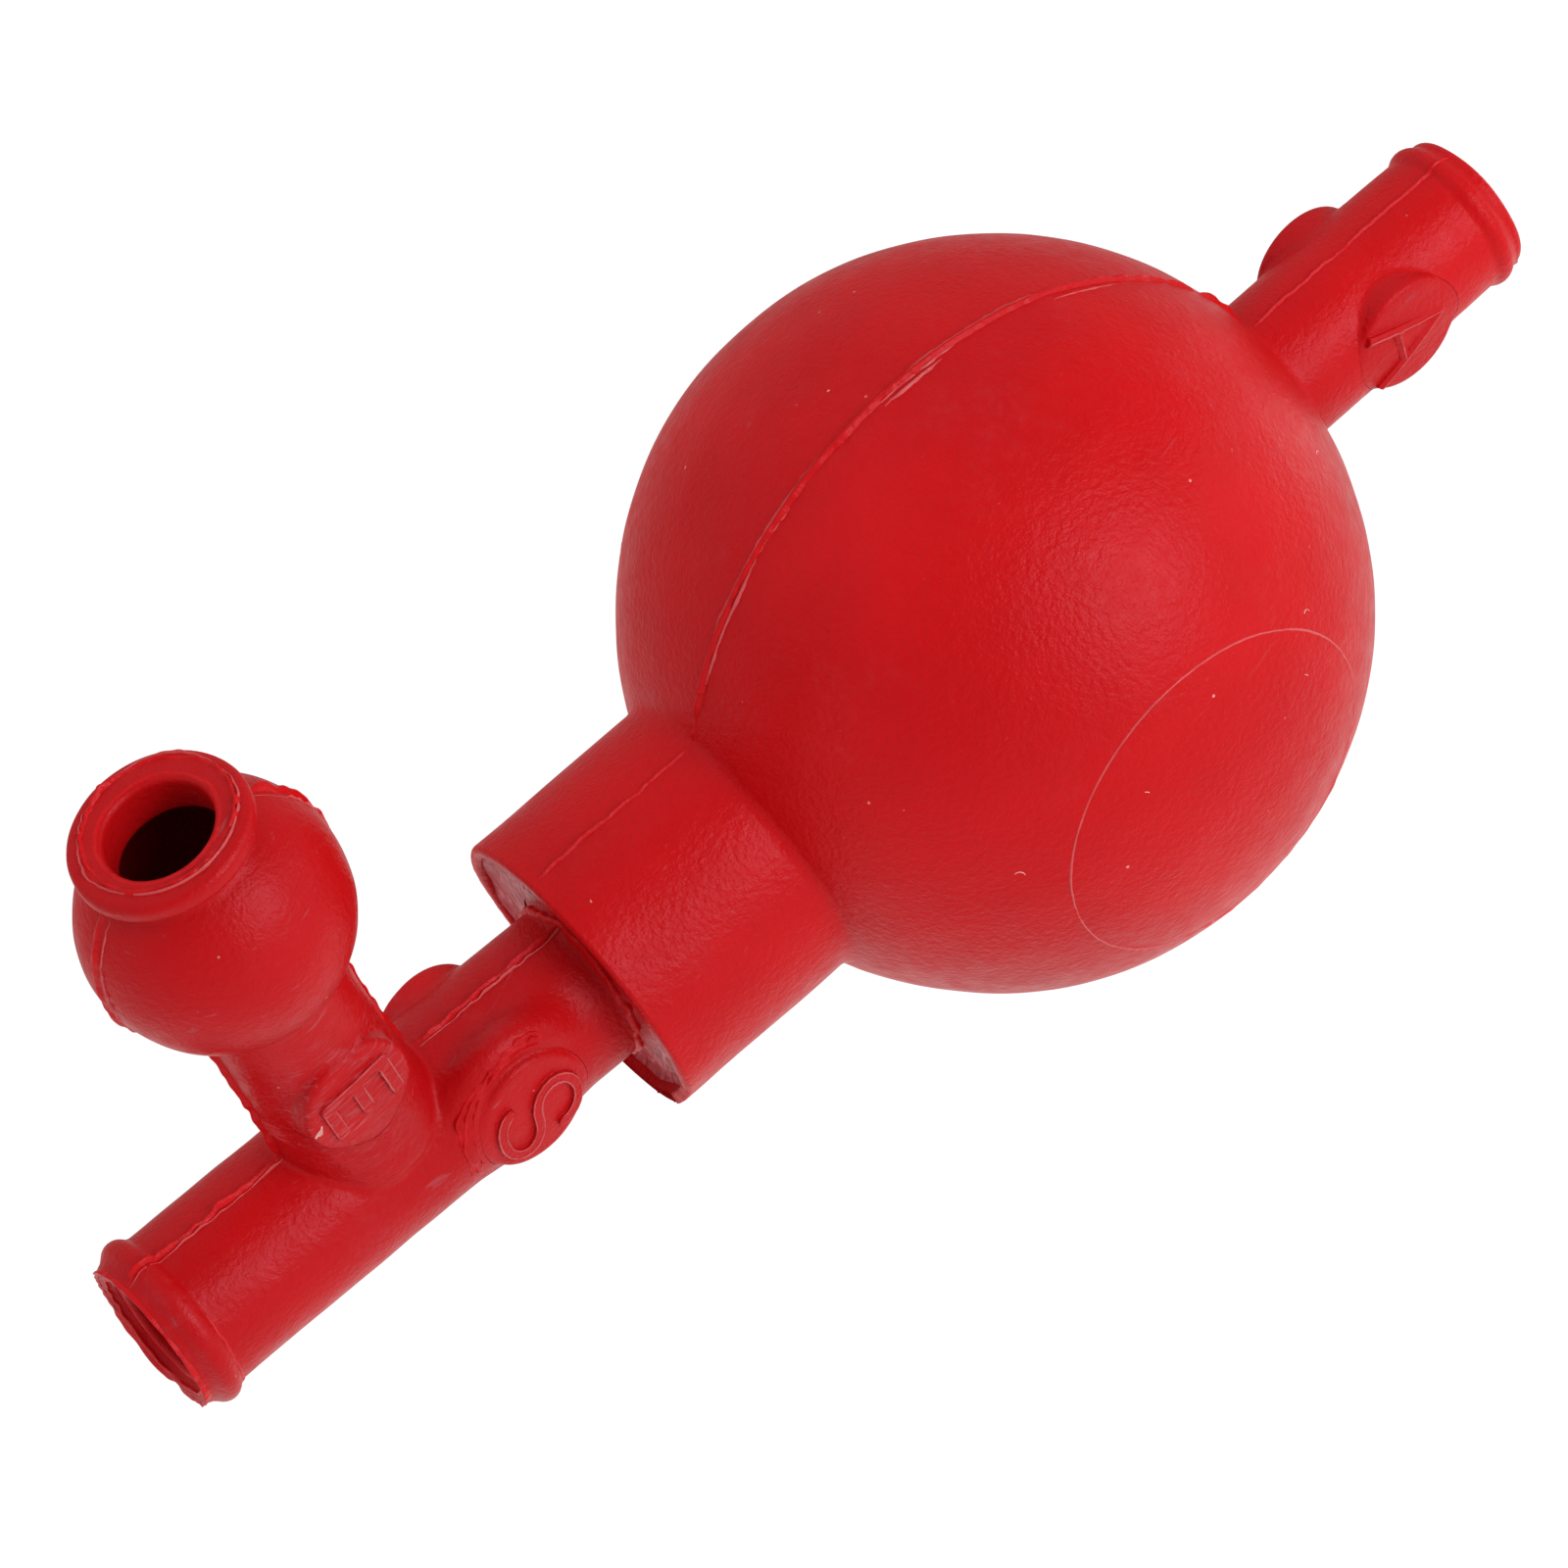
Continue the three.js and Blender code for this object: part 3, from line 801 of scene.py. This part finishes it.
def stem_skin():
    grids = (
        steps((29, 0.3), (48.5, 0.2), (72.5, 0.3), (88, None)),
        steps((-45.5, 0.3), (-20, 0.2), (6, 0.3), (11, None)),
        steps((-11, 0.3), (-8, 0.2), (8, 0.3), (11, None)),
    )
    along = np.array([LEAN_SIN, -LEAN_COS, 0])
    across = np.array([LEAN_COS, LEAN_SIN, 0])
    centre = (VALVES["E"] + BRANCH_ROOT * LEAN_SIN, SIDES["E"] + BRANCH_ROOT * LEAN_COS)
    rims = [
        ((*np.eye(3)[:2], (VALVES["S"], 0)), pocket_radius("S"), 0.27),
        ((along, across, centre), pocket_radius("E"), 0.27),
    ]
    made = skin(stem_field, grids, rims=rims)
    points, quads, _ = made
    middle = in_branch(points[quads].mean(1))
    away = np.linalg.norm(middle - (BLOW_CENTRE, 0, 0), axis=1)
    rest = np.ones(len(quads), bool)
    near = np.abs(middle[:, 0] - BLOW_CENTRE) < BLOW_CAP_REACH
    for name, side in (("outer", 1), ("inner", -1)):
        out = middle[:, 1] * side
        shell = (out > BLOW_CAP[0]) & (away > BLOW_MIDDLE_RADIUS) & near
        lining = (out > BLOW_LINING_CAP[0]) & (away < BLOW_MIDDLE_RADIUS) & near
        for part, chosen, stops, material in (
            ("shell", shell, BLOW_CAP, STEM_RUBBER),
            ("lining", lining, BLOW_LINING_CAP, LINING_RUBBER_PAINTED_SHADE),
        ):
            cap = part_of(f"blow_bulb_{part}_{name}", STEM, made, chosen)
            finish_piece(cap, material, "stem_rubber", f"blow_bulb_panel_{name}")
            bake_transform(cap)
            rest &= ~chosen
    # The faces inside the blow bulb take the darkened lining rubber: painted shade for the hollow.
    before_mouth = middle[:, 0] < BLOW_CENTRE + BLOW_LINING_REACH
    inside = rest & (away < BLOW_MIDDLE_RADIUS) & before_mouth
    lining = part_of("blow_bulb_lining", STEM, made, inside)
    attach(finish_piece(lining, LINING_RUBBER_PAINTED_SHADE, "stem_rubber"), "root")
    body = part_of("stem_skin", STEM, made, rest & ~inside)
    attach(finish_piece(body, STEM_RUBBER, "stem_rubber", "stem_body"), "root")


# ---- pads
class PadPlace(Place):
    """The frame of one pad: its tube's directions, with the pad's axis through zero."""

    def __init__(self, place, letter, upside):
        self.axes = place.axes * np.array([[1], [upside], [upside]])
        self.origin = place.out((VALVES[letter], SIDES[letter], 0))


def pads():
    for letter, home in {"A": PUMP, "S": STEM, "E": BRANCH}.items():
        slot = "bulb_rubber" if letter == "A" else "stem_rubber"
        for name, upside in TOP_AND_BOTTOM:
            field = pad_field(letter, upside)
            place = PadPlace(home, letter, upside)
            cell = 0.12 if upside == 1 else 0.17
            grid = steps((-5.4, cell), (5.4, None))
            rim = ((*np.eye(3)[:2], (0, 0)), PAD_RADII[letter], cell * 0.9)
            made = skin(field, (grid, grid, steps((2.0, cell), (7.8, None))), 1, [rim])
            pad = mesh_object(f"pad_{letter}_{name}", place, *made)
            finish_piece(pad, PAD_RUBBER, slot, f"valve_{letter}_pad_{name}")
            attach(pad, f"valve_{letter}_{name}")
            if upside == 1:
                letter_edges(letter, place, field, slot)


def letter_edges(letter, place, field, slot):
    """The thin pale burrs along a letter's outline, or along the crests of the A; their paleness
    also paints the highlight on these edges.
    """
    half = 0 if letter == "A" else STROKE_WIDTHS[letter] / 2 - 0.04
    strokes = letter_strokes(letter)
    number = 0
    for line in strokes:
        line = np.array(line)
        length = np.concatenate([[0], np.cumsum(np.linalg.norm(np.diff(line, axis=0), axis=1))])
        at = np.linspace(0, length[-1], max(10, int(length[-1] / 0.1)))
        middle = np.column_stack([np.interp(at, length, line[:, k]) for k in range(2)])
        along = np.gradient(middle, axis=0)
        along /= np.linalg.norm(along, axis=1)[:, None]
        for sign in ((0,) if letter == "A" else (-1, 1)):
            right, up = (middle + sign * half * np.column_stack([-along[:, 1], along[:, 0]])).T
            u, v = (-right, -up) if letter == "E" else (-up, right)
            path = np.column_stack([u, v, np.full(len(u), PAD_HEIGHTS[letter])])
            outer = stroke_distance(right, up, strokes) > half - 0.05
            breaks = np.flatnonzero(np.diff(outer.astype(int))) + 1
            for run in np.split(np.arange(len(u)), breaks):
                if len(run) < 6 or not outer[run[0]]:
                    continue
                number += 1
                edge = ridge(f"letter_{letter}_edge_{number}", place, field, path[run], 0.13, 0.06,
                             180 + number, ragged=0.9, wander=0.03)
                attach(finish_piece(edge, PALE_BURR_AND_HIGHLIGHT_RUBBER, slot), f"valve_{letter}_top")


def torn_flake():
    """A sliver torn up beside the foot of the E."""
    share = np.linspace(0, 1, 12)
    height = np.full(len(share), PAD_HEIGHTS["E"])
    path = np.column_stack([0.85 * share - 0.2, 4.45 - 0.85 * share, height])
    place = PadPlace(BRANCH, "E", 1)
    flake = ridge("torn_flake", place, pad_field("E", 1), path, 0.32, 0.28, 240, ragged=0.5)
    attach(finish_piece(flake, LINT, "stem_rubber"), "valve_E_top")


def rim_aprons():
    """Strips of skin from each pad's rim outwards, over the moulding's thinnest edge."""
    bulb = (PUMP, bulb_field, BULB_RUBBER, "bulb_rubber")
    stem = (STEM, stem_field, STEM_RUBBER, "stem_rubber")
    for letter, (place, home_field, material, slot) in (("A", bulb), ("S", stem), ("E", stem)):
        for name, upside in TOP_AND_BOTTOM:
            made = apron(letter, whole(home_field), upside)
            strip = mesh_object(f"rim_{letter}_{name}", place, *made)
            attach(finish_piece(strip, material, slot), "root")


def apron(letter, skin_field, upside, around=240):
    """Rows of points from the pad's rim outwards, just over the uncut skin of the tube."""
    angle = np.linspace(0, 2 * math.pi, around, endpoint=False)
    radius = PAD_RADII[letter] + APRON_PLAY
    u, v = radius * np.cos(angle), radius * np.sin(angle)

    def at_home(height):
        points = np.stack([VALVES[letter] + u, SIDES[letter] + v, height * upside], 1)
        return from_branch(points) if letter == "E" else points

    low, high = np.full(around, 1.0), np.full(around, 9.0)
    for _ in range(24):
        middle = (low + high) / 2
        outside = skin_field(at_home(middle)) > 0
        low, high = np.where(outside, low, middle), np.where(outside, middle, high)
    rim = at_home(low)
    normal = slope(skin_field, rim, step=0.1)
    along = np.roll(rim, -1, 0) - np.roll(rim, 1, 0)
    side = np.cross(along, normal) * upside
    side /= np.linalg.norm(side, axis=1)[:, None]
    width = APRON_WIDTHS[letter]
    rows = [rim]
    for share in APRON_ROWS:
        rows.append(settled(skin_field, rim + side * width * share))
    leans = [slope(skin_field, row) for row in rows]
    leans = [lean / np.linalg.norm(lean, axis=1)[:, None] for lean in leans]
    stacked = zip(rows, APRON_LIFTS, leans)
    points = np.concatenate([row + lift * lean for row, lift, lean in stacked])
    first = np.arange(around)
    after = (first + 1) % around
    band = np.stack([first, first + around, after + around, after], 1)[:, ::upside]
    loops = [band + k * around for k in range(len(rows) - 1)]
    return points, np.concatenate(loops), np.concatenate(leans)


# ---- cement and balls
def cement_film():
    """The plug's glazed face: a ring with trowelled ripples, thick in the corner."""
    around, out = 160, 34
    angle = np.linspace(0, 2 * math.pi, around, endpoint=False)
    radius = np.linspace(STEM_RADIUS + 0.3, COLLAR_BORE + 0.05, out)
    a, r = np.meshgrid(angle, radius, indexing="ij")
    points = np.stack([np.zeros_like(a), r * np.cos(a), r * np.sin(a)], -1).reshape(-1, 3)
    ripple = 0.10 * waves(np.column_stack([r.ravel() * 2.2, points[:, 1:] * 0.35]), 1.5, 21)
    corner = 0.35 * smooth((r.ravel() - 11.0) / 0.8)
    points[:, 0] = PLUG_FACE + 0.12 + ripple + corner + 0.12 * waves(points, 5, 22)
    i, j = np.meshgrid(np.arange(around), np.arange(out - 1), indexing="ij")
    here, after = i * out + j, (i + 1) % around * out + j
    faces = np.stack([here, here + 1, after + 1, after], -1).reshape(-1, 4)
    film = mesh_object("cement_film", PUMP, points, faces)
    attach(finish_piece(film, CEMENT, "rubber_cement", "cement_layer"), "root")


def glass_balls():
    for letter in VALVES:
        node = frame["nodes"][f"valve_{letter}_ball"]
        node.data.materials.clear()
        node.data.materials.append(GLASS)


# ---- flash lines
def circle(radius, start, end, spacing=0.3):
    """Points (x, y, 0) on a circle, between two angles in degrees from +X."""
    count = max(8, int(abs(math.radians(end - start)) * radius / spacing))
    angle = np.radians(np.linspace(start, end, count))
    return np.column_stack([radius * np.cos(angle), radius * np.sin(angle), np.zeros(count)])


def straight(start, end, side):
    count = max(8, int((end - start) / 0.3))
    along = np.linspace(start, end, count)
    return np.column_stack([along, np.full(count, side), np.zeros(count)])


def add_ridge(home, name, path, width, height, seed, blend=None, material=FLASH_RUBBER, **uneven):
    """A ridge on a moulding, of which `home` gives the frame, field and slot; the slot is not
    used.
    """
    place, field, slot = home
    made = ridge(name, place, whole(field), path, width, height, seed, **uneven)
    finish_piece(made, material, slot)
    if blend:
        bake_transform(made)
    else:
        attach(made, "root")


def on_bulb(*shape, **settings):
    add_ridge((PUMP, bulb_field, "bulb_rubber"), *shape, **settings)


def on_stem(*shape, **settings):
    add_ridge((STEM, stem_field, "stem_rubber"), *shape, **settings)


def bulb_flash():
    first = math.degrees(math.asin(BULB_CAP[0] / BULB_RADIUS))
    collar = math.degrees(math.asin(COLLAR_RADIUS / BULB_RADIUS))
    neck = 180 - math.degrees(math.asin(NECK_RADIUS / BULB_RADIUS))
    lines = (
        ("neck", -NECK_END + 0.2, -29.6, NECK_RADIUS, 110),
        ("collar", 27.4, COLLAR_END - 0.3, COLLAR_RADIUS, 111),
    )
    for name, side in FRONT_AND_BACK:
        arcs = (
            (collar, first, None),
            (first, 180 - first, ("root", f"bulb_{name}", *bulb_ends(side))),
            (180 - first, neck, None),
        )
        for number, (start, end, blend) in enumerate(arcs):
            path = circle(BULB_RADIUS, side * start, side * end)
            on_bulb(f"bulb_flash_{name}_{number}", path, 0.8, 0.34, 100 + number, blend=blend)
        for part, start, end, radius, seed in lines:
            path = straight(start, end, side * radius)
            on_bulb(f"{part}_flash_{name}", path, 0.42, 0.2, seed)


def bulb_crust():
    """Stretches where the bulb's flash was torn off and left a pale crust beside the line."""
    spans = (
        (78, 100, 0.35, 190),
        (36, 66, 0.35, 191),
        (118, 136, 0.9, 192),
        (44, 74, -0.35, 193),
        (86, 97, 0.75, 194),
        (92, 116, -0.35, 195),
    )
    for name, side in FRONT_AND_BACK:
        blend = ("root", f"bulb_{name}", *bulb_ends(side))
        for start, end, aside, seed in spans:
            path = circle(BULB_RADIUS, side * start, side * end) + (0, 0, aside)
            on_bulb(f"bulb_crust_{seed}_{side}", path, 0.24, 0.08, seed, blend=blend,
                    ragged=1.8, wander=0.16, material=PALE_BURR_AND_HIGHLIGHT_RUBBER)


def lint_hairs():
    """A few curled hairs that cling to the bulb's fixed middle."""
    draws = np.random.default_rng(7)
    for number in range(16):
        turn = draws.uniform(0, 2 * math.pi)
        across = draws.uniform(-0.42, 0.42) * BULB_RADIUS
        round_y = math.sqrt(BULB_RADIUS ** 2 - across ** 2)
        centre = np.array([round_y * math.cos(turn), across, round_y * math.sin(turn)])
        if abs(centre[0]) > 26:
            continue
        first = unit(np.cross(centre, (0.3, 1, 0.2)))
        second = unit(np.cross(centre, first))
        angle = np.linspace(0, draws.uniform(1.0, 3.0), 40)[:, None]
        size = draws.uniform(0.2, 0.6)
        squeeze = draws.uniform(0.6, 1.0)
        path = centre + size * (np.cos(angle) * first + np.sin(angle * squeeze) * second)
        on_bulb(f"hair_{number}", path, 0.07, 0.06, 200 + number,
                ragged=0.1, wander=0.02, material=LINT)


def insert_lines():
    """The circles left on both faces of the bulb by the mould's round inserts."""
    radius = BULB_RADIUS * math.sin(INSERT_ANGLE)
    height = BULB_RADIUS * math.cos(INSERT_ANGLE)
    angle = np.linspace(0, 2 * math.pi, 320)
    for name, side in TOP_AND_BOTTOM:
        up = np.full(len(angle), side * height)
        path = np.column_stack([radius * np.cos(angle), radius * np.sin(angle), up])
        on_bulb(f"insert_line_{name}", path, 0.2, 0.06, 120,
                ragged=0.8, wander=0.04, material=PALE_BURR_AND_HIGHLIGHT_RUBBER)


def hoop(at, radius, start=0, end=360):
    """Points on a circle round the first axis, between two angles from the second."""
    y, z, _ = circle(radius, start, end, 0.22).T
    return np.column_stack([np.full(len(y), at), y, z])


def stem_flash():
    for name, side in FRONT_AND_BACK:
        spans = ((41.5, 58.6), (71.8, 87.2)) if side < 0 else ((41.5, 87.2),)
        for number, (start, end) in enumerate(spans):
            path = straight(start, end, side * STEM_RADIUS)
            on_stem(f"stem_flash_{name}_{number}", path, 0.6, 0.42, 130 + number, ragged=0.55)
            # A pale ridge beside the flash: torn burr, and a painted highlight along the fin's
            # edge.
            on_stem(f"stem_flash_edge_{name}_{number}", path + (0, 0, 0.4), 0.16, 0.12,
                    135 + number, ragged=1.6, material=PALE_BURR_AND_HIGHLIGHT_RUBBER)


def branch_flash():
    first = math.degrees(math.asin(BLOW_CAP[0] / BLOW_RADIUS))
    for name, side in (("outer", 1), ("inner", -1)):
        tube = from_branch(straight(7.2, 24.2, side * BRANCH_RADIUS))
        on_stem(f"branch_flash_{name}", tube, 0.7, 0.4, 140, ragged=0.3)
        arcs = (
            (180 - 35.5, 180 - first, None),
            (180 - first, first, ("root", f"blow_{name}", *blow_ends(side))),
        )
        for number, (start, end, blend) in enumerate(arcs):
            path = circle(BLOW_RADIUS, side * start, side * end) + (BLOW_CENTRE, 0, 0)
            on_stem(f"blow_flash_{name}_{number}", from_branch(path), 1.2, 0.34, 150 + number,
                    blend=blend, ragged=0.5, wander=0.2)
            for aside, seed in ((0.7, 155), (-0.45, 157)):
                edge = from_branch(path + (0, 0, aside))
                on_stem(f"blow_flash_edge_{name}_{number}_{seed}", edge, 0.18, 0.12,
                        seed + number, blend=blend, ragged=1.6, wander=0.25,
                        material=PALE_BURR_AND_HIGHLIGHT_RUBBER)


def crumbs():
    """Crumbled rubber in the groove beside the S pad."""
    for radius, seed in ((5.75, 220), (6.3, 221), (6.8, 222)):
        path = circle(radius, -120, 20, 0.12) + (VALVES["S"], SIDES["S"], 6.2)
        path = settled(whole(stem_field), path, rounds=10)
        on_stem(f"crumbs_S_{seed}", path, 0.24, 0.09, seed, ragged=2.0, wander=0.4)


def wrinkles():
    """Stacks of short folds in the rubber on both sides of the E pad."""
    angle = np.radians(np.linspace(2, 25, 20))
    up = BRANCH_RADIUS * np.sin(angle)
    for side, middle, tilt in ((-1, VALVES["E"] + 0.5, 0.7), (1, VALVES["E"] - 2.4, -0.5)):
        across = side * BRANCH_RADIUS * np.cos(angle)
        for number in range(6):
            along = middle + 0.42 * (number - 2.5) + tilt * (angle - 0.25)
            path = from_branch(np.column_stack([along, across, up]))
            on_stem(f"wrinkle_{side}_{number}", path, 0.26, 0.1, 230 + number,
                    ragged=0.9, wander=0.05, material=LINE_RUBBER)


def end_lips():
    """Torn rims of flash on the mouth's face and at the ends of both mouldings."""
    mouth = (
        ("mouth_lip", 5.8, 0.3, 0.5, 0.2, 160, FLASH_RUBBER),
        ("mouth_crumbs", 6.05, 0.3, 0.2, 0.16, 161, PALE_BURR_AND_HIGHLIGHT_RUBBER),
        ("mouth_bead", 4.7, 0, 0.35, 0.05, 162, FLASH_RUBBER),
    )
    for name, radius, aside, width, height, seed, material in mouth:
        path = from_branch(hoop(MOUTH_END, radius) + (0, -aside, -aside))
        on_stem(name, path, width, height, seed, ragged=0.9, wander=0.14, material=material)
    stem_end = (
        ("end_lip", 6.35, 0.5, 0.32, 170, 0.5),
        ("end_inner_lip", 5.3, 0.35, 0.16, 171, 0.6),
    )
    for name, radius, width, height, seed, ragged in stem_end:
        path = hoop(STEM_END, radius)
        on_stem(name, path, width, height, seed, ragged=ragged, wander=0.12)
    crease = hoop(STEM_BEAD - 1.25, STEM_RADIUS + 0.2, 20, 130)
    on_stem("bead_crease", crease, 0.3, 0.1, 172, ragged=0.9, material=LINE_RUBBER)
    crust = hoop(-NECK_END + 0.4, NECK_RADIUS - 0.3, -120, 60)
    on_bulb("neck_crust", crust, 0.4, 0.2, 173, ragged=0.9)


def stem_weld():
    """The lump of rubber where the stem leaves its plug."""
    weld = hoop(PLUG_FACE + 1.3, STEM_RADIUS + 0.1)
    on_stem("stem_weld", weld, 1.0, 0.28, 174, ragged=0.8, wander=0.4)


bulb_skin()
stem_skin()
pads()
torn_flake()
rim_aprons()
cement_film()
glass_balls()
bulb_flash()
bulb_crust()
lint_hairs()
insert_lines()
stem_flash()
branch_flash()
end_lips()
crumbs()
wrinkles()
stem_weld()


# ---- stage, light and camera
# The photograph's camera in the bulb's frame: its place in millimetres and its axes.
CAMERA_AT = (102.71, -325.07, 238.53)
CAMERA_AXES = (
    (-0.7400, 0.2695, 0.6163),
    (-0.6432, -0.5515, -0.5311),
    (0.1968, -0.7894, 0.5815),
)
LENS = 120.55
FLOOR_HALF = 6.0
FLOOR_GAP = 0.0005
LIGHT_DISTANCE = 0.75


def put(obj, at, axes):
    """Places a camera or light, which looks against the last of its axes."""
    turned = Matrix(np.array(axes).T.tolist())
    obj.matrix_world = Matrix.Translation(at.tolist()) @ turned.to_4x4()
    bpy.context.scene.collection.objects.link(obj)


def camera():
    data = bpy.data.cameras.new("camera")
    data.lens = LENS
    data.sensor_width = 36
    obj = bpy.data.objects.new("camera", data)
    put(obj, PUMP.out(CAMERA_AT), PUMP.turn(CAMERA_AXES))
    bpy.context.scene.camera = obj


def floor():
    """A glowing white floor, left out of reflections."""
    mesh = bpy.data.meshes.new("floor")
    half = FLOOR_HALF
    corners = [(-half, -half, 0), (half, -half, 0), (half, half, 0), (-half, half, 0)]
    mesh.from_pydata(corners, [], [(0, 1, 2, 3)])
    obj = bpy.data.objects.new("floor", mesh)
    obj.location.z = -FLOOR_GAP
    obj.visible_glossy = False
    n = new_material("white_floor")
    n.set(Base_Color=(0.02, 0.02, 0.02, 1), Roughness=0.9)
    n.set(Emission_Color=(1, 1, 1, 1), Emission_Strength=1.0)
    mesh.materials.append(n.owner)
    bpy.context.scene.collection.objects.link(obj)


def soft_light(name, direction, size, watts):
    """An area light that looks at the bulb from a direction in the camera's axes."""
    data = bpy.data.lights.new(name, "AREA")
    data.shape = "DISK"
    data.size = size
    data.energy = watts
    obj = bpy.data.objects.new(name, data)
    towards = unit(np.array(direction) @ PUMP.turn(CAMERA_AXES))
    side = unit(np.cross((0, 0, 1), towards))
    put(obj, PUMP.origin + towards * LIGHT_DISTANCE, [side, np.cross(towards, side), towards])


def studio():
    """White all round beyond the object, and dimmer on the camera's side of the room."""
    world = bpy.data.worlds.new("studio")
    bpy.context.scene.world = world
    n = Nodes(world, "Background", "Generated")
    _, up, back = PUMP.turn(CAMERA_AXES)
    brightest = -back - 0.9 * up
    brightest[2] = 0.8
    strength = n.ramp(n.towards(unit(brightest)), -0.35, 0.8, 0.27, 1.0, "SMOOTHSTEP")
    n.set(Strength=strength, Color=(1, 1, 1, 1))


camera()
floor()
studio()
soft_light("key", (0.60, 0.15, 0.786), 0.60, 3.5)
soft_light("glint", (0.632, 0.064, 0.771), 0.16, 0.45)
soft_light("second_glint", (0.842, 0.53, 0.107), 0.16, 0.35)
soft_light("far_window", (0.68, 0.47, -0.56), 0.30, 0.45)
bpy.context.scene.view_settings.view_transform = "Standard"
